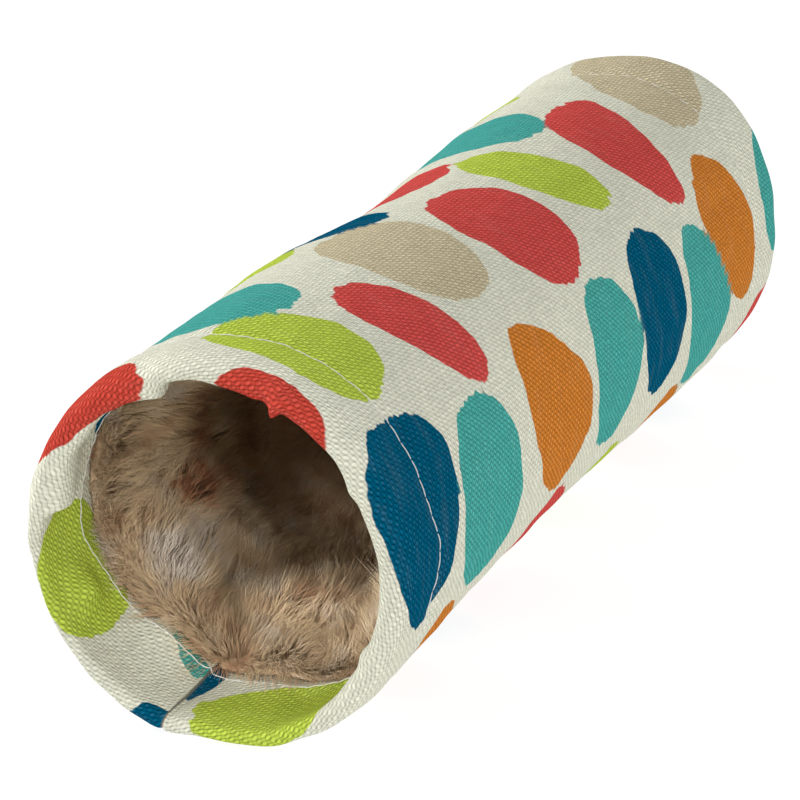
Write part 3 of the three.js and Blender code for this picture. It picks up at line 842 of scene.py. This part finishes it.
def hair_points(angle, place, random):
    """Root, bend and tip of each hair. It stands up along the skin's inward normal, leans with
    its lock away from a whorl, and droops a little; by the free edge it lies to the mouth."""
    step = 0.4
    here = pile_points(angle, place)
    round_by = pile_points(angle + step, place) - here
    along_by = pile_points(angle, place + step) - here
    round_by /= np.linalg.norm(round_by, axis=1, keepdims=True)
    along_by /= np.linalg.norm(along_by, axis=1, keepdims=True)
    inward = np.cross(along_by, round_by)
    inward /= np.linalg.norm(inward, axis=1, keepdims=True)
    centre = here * [1, 0, 1] - [0, 0, OUTER_RADIUS]
    inward *= -np.sign((inward * centre).sum(axis=1, keepdims=True))

    arc = np.radians(angle) * PILE_RADIUS
    cell_round = np.floor(arc / LOCK_SIZE)
    cell_along = np.floor(place / LOCK_SIZE + 0.5 * (cell_round % 2))
    key = (cell_round * 7919 + cell_along * 104729).astype(np.int64) % 4096
    lock = np.random.default_rng(77).random((4096, 5))[key]
    to_round = (cell_round + 0.2 + 0.6 * lock[:, 0]) * LOCK_SIZE - arc
    to_along = (cell_along - 0.5 * (cell_round % 2) + 0.2 + 0.6 * lock[:, 1]) * LOCK_SIZE - place
    pull = round_by * to_round[:, None] + along_by * to_along[:, None]
    fan = np.arctan2(place - WHORL[1], turn(WHORL[0], angle) * math.radians(PILE_RADIUS))
    flow = fan + 0.6 * waves(angle, place, 7, 31, 30, 90) + 1.1 * (lock[:, 2] - 0.5)
    amount = 0.42 + 0.26 * lock[:, 4]
    lean = amount[:, None] * (round_by * np.cos(flow)[:, None] + along_by * np.sin(flow)[:, None])
    lean = lean + 0.14 * random.normal(0, 1, (len(angle), 3))
    edge = hump(np.minimum(place, LENGTH - place) - FUR_FROM_MOUTH, EDGE_REACH)[:, None]
    to_mouth = np.where(place < LENGTH / 2, -1.0, 1.0)[:, None] * along_by
    lean = lean + 0.8 * edge * to_mouth
    upright = 1 - 0.93 * edge
    length = HAIR_LENGTH + LOCK_LENGTHS * (lock[:, 3] - 0.5)
    length = (length + random.normal(0, OWN_LENGTHS, len(angle)))[:, None]
    bend = here + 0.5 * length * (upright * inward + 0.6 * lean) + 0.2 * LOCK_PULL * pull
    tip = bend + 0.5 * length * (0.72 * upright * inward + 1.1 * lean) + 0.8 * LOCK_PULL * pull
    tip = tip - [0, 0, 0.5]
    return here - 0.5 * inward, bend, tip, inward, lean


def hair_mesh(name, seed):
    """Spindles: root, a ring of three round the bend, tip. Attributes: share of the length, tone,
    tint with the painted shade of the deep hollow, and the skin's normal, lie."""
    random = np.random.default_rng(seed)
    angle, place = hair_roots(random, HAIRS_A_BATCH)
    root, bend, tip, inward, lean = hair_points(angle, place, random)
    run = tip - root
    run /= np.linalg.norm(run, axis=1, keepdims=True)
    side = np.cross(run, inward + 0.01 * lean)
    side /= np.linalg.norm(side, axis=1, keepdims=True)
    out = np.cross(side, run)
    thick = random.uniform(0.06, 0.1, (len(angle), 1))
    ring = [bend + thick * (math.cos(t) * side + math.sin(t) * out)
            for t in (math.pi / 2, math.pi * 7 / 6, math.pi * 11 / 6)]
    points = np.stack([root, *ring, tip], axis=1).reshape(-1, 3) * MM
    first = np.arange(len(angle))[:, None, None] * 5
    pattern = np.array([(0, 2, 1), (0, 3, 2), (0, 1, 3), (1, 2, 4), (2, 3, 4), (3, 1, 4)])
    piece = new_mesh(name, points, (first + pattern).reshape(-1, 3))
    point_value(piece, "share", np.tile([0, 0.5, 0.5, 0.5, 1], len(angle)))
    point_value(piece, "tone", np.repeat(random.random(len(angle)), 5))
    point_value(piece, "tint_and_shade", np.repeat(table_rise(FUR_TINTS_AND_SHADE, angle, place), 5))
    point_value(piece, "lie", np.repeat(inward, 5, axis=0), "FLOAT_VECTOR", "vector")
    return piece


hairs = [hair_mesh(f"fur_{i + 1}", 100 + i) for i in range(HAIR_BATCHES)]

# %% [markdown]
# ## Fur colour
# The plush is brown at the roots and tan and grey-beige at the tips, the tips dyed unevenly. The
# colour is mixed from each hair's own tone, from the tints above and from large soft clouds on the
# object, so neighbouring hairs agree. In the deep hollow and the crease behind the low lump the
# tints' dark and brown rows are painted shade, and the hollow is darkened again as painted shade.
# Fur catches light as one soft surface more than hair by hair, so each hair is shaded partly by
# the way the backing under it faces.

# %% The fur materials
FUR_ROOT = (0.62, 0.38, 0.22, 1)
FUR_TAN = (0.98, 0.74, 0.46, 1)
FUR_GREY = (0.98, 0.88, 0.75, 1)
FUR_BROWN = (0.54, 0.2, 0.1, 1)
AS_THE_SKIN = 0.6          # how far a hair's normal leans to the backing's


def fur_colour(tree):
    """Tan, turned to grey where tint + cloud is above 0 and to brown where it is below,
    which in the deep hollow and the crease is painted shade.
    """
    at = add_node(tree, "ShaderNodeTexCoord").outputs["Object"]
    cloud = add_node(tree, "ShaderNodeTexNoise", Vector=at, Scale=90.0, Detail=3.0)
    clouds = steps(tree, cloud.outputs["Fac"], 0.25, 0.75, -0.6, 0.6)
    level = calc(tree, "ADD", attribute(tree, "tint_and_shade"), clouds)
    paler = mix_colour(tree, steps(tree, level, 0.0, 1.0), FUR_TAN, FUR_GREY)
    return mix_colour(tree, steps(tree, level, -1.0, 0.0, 1.0, 0.0), paler, FUR_BROWN)


def darken_with_hollow_shade(tree, colour, level):
    """Colour x level, and darker again where the tint is far below 0, as painted shade of the deep
    hollow.
    """
    painted_hollow_shade = steps(tree, attribute(tree, "tint_and_shade"), -2.3, -0.9, 0.08, 1.0)
    return shaded(tree, colour, calc(tree, "MULTIPLY", level, painted_hollow_shade))


def hair_finish():
    """Root colour to tip colour by the share of the hair's length, times its own tone and the
    painted shade of the deep hollow. Normal = the hair's own mixed with the backing's."""
    material, tree, shader = new_material("fur hairs")
    tipward = steps(tree, attribute(tree, "share"), 0.0, 0.8)
    colour = mix_colour(tree, tipward, FUR_ROOT, fur_colour(tree))
    colour = darken_with_hollow_shade(tree, colour, steps(tree, attribute(tree, "tone"), 0.3, 1.0, 0.92, 1.06))
    tree.links.new(colour, shader.inputs["Base Color"])
    own = add_node(tree, "ShaderNodeNewGeometry").outputs["Normal"]
    normals = add_node(tree, "ShaderNodeMix", {"data_type": "VECTOR"}, Factor=AS_THE_SKIN)
    tree.links.new(own, normals.inputs[4])
    tree.links.new(attribute(tree, "lie", "Vector"), normals.inputs[5])
    tree.links.new(normals.outputs[1], shader.inputs["Normal"])
    shader.inputs["Roughness"].default_value = 0.8
    shader.inputs["Specular IOR Level"].default_value = 0.12
    return material


def skin_finish():
    """The backing under the fur: the fur's colours, darker, as painted shade in the gaps between
    the hairs, with a nap.
    """
    material, tree, shader = new_material("fur backing")
    colour = mix_colour(tree, 0.35, fur_colour(tree), FUR_ROOT)
    tree.links.new(darken_with_hollow_shade(tree, colour, 1.0), shader.inputs["Base Color"])
    at = add_node(tree, "ShaderNodeTexCoord").outputs["Object"]
    nap = add_node(tree, "ShaderNodeTexNoise", Vector=at, Scale=900.0, Detail=4.0)
    bump = add_node(tree, "ShaderNodeBump", Strength=0.8, Distance=0.0006,
                    Height=nap.outputs["Fac"])
    tree.links.new(bump.outputs[0], shader.inputs["Normal"])
    shader.inputs["Roughness"].default_value = 0.95
    return material


skin.data.materials.append(skin_finish())
hair_material = hair_finish()
for piece in hairs:
    piece.data.materials.append(hair_material)
print("fur materials ready")

# %% [markdown]
# ## Stitches
# A round of lockstitch holds each hem: it shows outside on the canvas and inside on the facing,
# by the edge of the fur. Each is one thread that lies on the cloth for a stitch and dips at the
# needle holes, so it is a thin tube carried along a path that follows the cloth.

# %% Thread tubes
THREAD_RADIUS = 0.16
STITCHES_ROUND = 62
THREAD_SAMPLES = 620
THREAD_SIDES = 8


def thread_path(radius, facing, far, outward):
    """The cloth's surface at the stitch line, lifted between the holes and sunk at them."""
    angle = np.arange(THREAD_SAMPLES) * 360 / THREAD_SAMPLES
    arch = abs(np.sin(np.radians(angle) * STITCHES_ROUND / 2)) ** 0.6
    inset = stitch_inset(angle, far)
    place = LENGTH - inset if far else inset
    lift = outward * (0.3 * arch - 0.14 - 0.16 * far)
    return layer_points(angle, place, radius + lift, facing) / MM


def thread_tube(name, path):
    """A closed tube: a small circle in the plane of the radial and sideways directions."""
    ahead = np.roll(path, -1, axis=0) - np.roll(path, 1, axis=0)
    ahead /= np.linalg.norm(ahead, axis=1, keepdims=True)
    side = np.cross(ahead, path * [1, 0, 1] - [0, 0, OUTER_RADIUS])
    side /= np.linalg.norm(side, axis=1, keepdims=True)
    up = np.cross(side, ahead)
    turnings = (np.arange(THREAD_SIDES) * 2 * np.pi / THREAD_SIDES)[None, :, None]
    tube = path[:, None] + THREAD_RADIUS * (
        np.cos(turnings) * side[:, None] + np.sin(turnings) * up[:, None])
    return new_mesh(name, tube.reshape(-1, 3) * MM, grid_faces(len(path), THREAD_SIDES))


threads = []
for far, end in enumerate(("near", "far")):
    threads.append(thread_tube(f"stitch_{end}_outside", thread_path(OUTER_RADIUS, 0.0, far, 1)))
    threads.append(thread_tube(f"stitch_{end}_inside", thread_path(FACING_RADIUS, 1.0, far, -1)))


def thread_finish():
    """Off-white thread with a fine twist: slanted waves of Object coordinates."""
    material, tree, shader = new_material("sewing thread")
    at = add_node(tree, "ShaderNodeTexCoord").outputs["Object"]
    twist = add_node(tree, "ShaderNodeTexWave", {"bands_direction": "DIAGONAL"}, Vector=at,
                     Scale=900.0, Distortion=1.5)
    colour = mix_colour(tree, twist.outputs["Fac"], (0.74, 0.72, 0.66, 1), (0.93, 0.92, 0.88, 1))
    tree.links.new(colour, shader.inputs["Base Color"])
    bump = add_node(tree, "ShaderNodeBump", Strength=0.5, Distance=0.00008,
                    Height=twist.outputs["Fac"])
    tree.links.new(bump.outputs[0], shader.inputs["Normal"])
    shader.inputs["Roughness"].default_value = 0.6
    return material


thread_material = thread_finish()
for piece in threads:
    piece.data.materials.append(thread_material)
print(len(threads), "rounds of stitches, about", STITCHES_ROUND, "stitches each")

# %% [markdown]
# ## Floor and light
# A plain pale floor and soft studio light, as in a catalogue: an even world, a soft key light
# from the left, a weaker fill from the right, and three narrow ones for the fur inside. Key and
# fill stand far off, so both ends are lit alike, and they rake the cloth, which brings out its
# weave. The floor glows a little, which keeps it near white right under the tube.

# %% Stage and lights
FLOOR_GLOW, WORLD_LIGHT = 0.88, 0.5
MIDDLE = (0, 0, 0.05)                      # what the key and the fill look at
SPOT_AWAY, SPOT_SOFTNESS = 1.1, 0.025      # how far off the narrow lights stand, and their radius

bpy.ops.mesh.primitive_plane_add(size=6, location=(0, 0, 0))
floor = bpy.context.object
floor.name = "floor"
floor_material, floor_tree, floor_shader = new_material("pale floor")
floor_shader.inputs["Base Color"].default_value = (0.2, 0.2, 0.2, 1)
floor_shader.inputs["Roughness"].default_value = 0.9
floor_shader.inputs["Specular IOR Level"].default_value = 0.1
floor_shader.inputs["Emission Color"].default_value = (1, 1, 1, 1)
floor_shader.inputs["Emission Strength"].default_value = FLOOR_GLOW
floor.data.materials.append(floor_material)

world = bpy.data.worlds.new("studio")
bpy.context.scene.world = world
world.use_nodes = True
world.node_tree.nodes["Background"].inputs["Color"].default_value = (1.0, 1.0, 1.0, 1)
world.node_tree.nodes["Background"].inputs["Strength"].default_value = WORLD_LIGHT


def soft_light(name, place, aim, size, power):
    """A square area light at a place, turned to an aim."""
    light = bpy.data.objects.new(name, bpy.data.lights.new(name, "AREA"))
    light.data.size, light.data.energy = size, power
    light.location = place
    light.rotation_euler = (Vector(aim) - Vector(place)).to_track_quat("-Z", "Y").to_euler()
    bpy.context.scene.collection.objects.link(light)


soft_light("key", (-2.07, -0.24, 1.24), MIDDLE, 0.9, 41.0)
soft_light("fill", (1.85, -0.82, 1.32), MIDDLE, 1.0, 15.0)


def narrow_light(name, azimuth, elevation, aim, cone, power):
    """A spot whose narrow cone, in degrees, passes inside the near mouth and fades to its rim."""
    light = bpy.data.objects.new(name, bpy.data.lights.new(name, "SPOT"))
    light.data.energy, light.data.shadow_soft_size = power, SPOT_SOFTNESS
    light.data.spot_size, light.data.spot_blend = math.radians(cone), 1.0
    a, e = math.radians(azimuth), math.radians(elevation)
    aim = Vector(aim)
    light.location = aim + SPOT_AWAY * Vector((
        math.sin(a) * math.cos(e), -math.cos(a) * math.cos(e), math.sin(e)))
    light.rotation_euler = (aim - light.location).to_track_quat("-Z", "Y").to_euler()
    bpy.context.scene.collection.objects.link(light)


narrow_light("into the mouth", 6, 28, (-0.002, -0.112, 0.018), 4.4, 23)
narrow_light("onto the left of the fur", 34, 30, (-0.026, -0.106, 0.030), 3.6, 15)
narrow_light("onto the right of the fur", -24, 30, (0.018, -0.108, 0.022), 3.6, 35)
bpy.context.scene.view_settings.view_transform = "Standard"

# %% [markdown]
# ## Fit to the frame
# Each new piece rides on the tunnel's one body. The canvas and the fur stand for the two plain
# solids, which are hidden. Both are sheets of cloth with a flat, cut size.

# %% Ride on the body and hide the solids
for piece in (canvas, skin, *hairs, *threads):
    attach(piece, "root")
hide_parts("canvas_shell")
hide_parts("fur_lining")
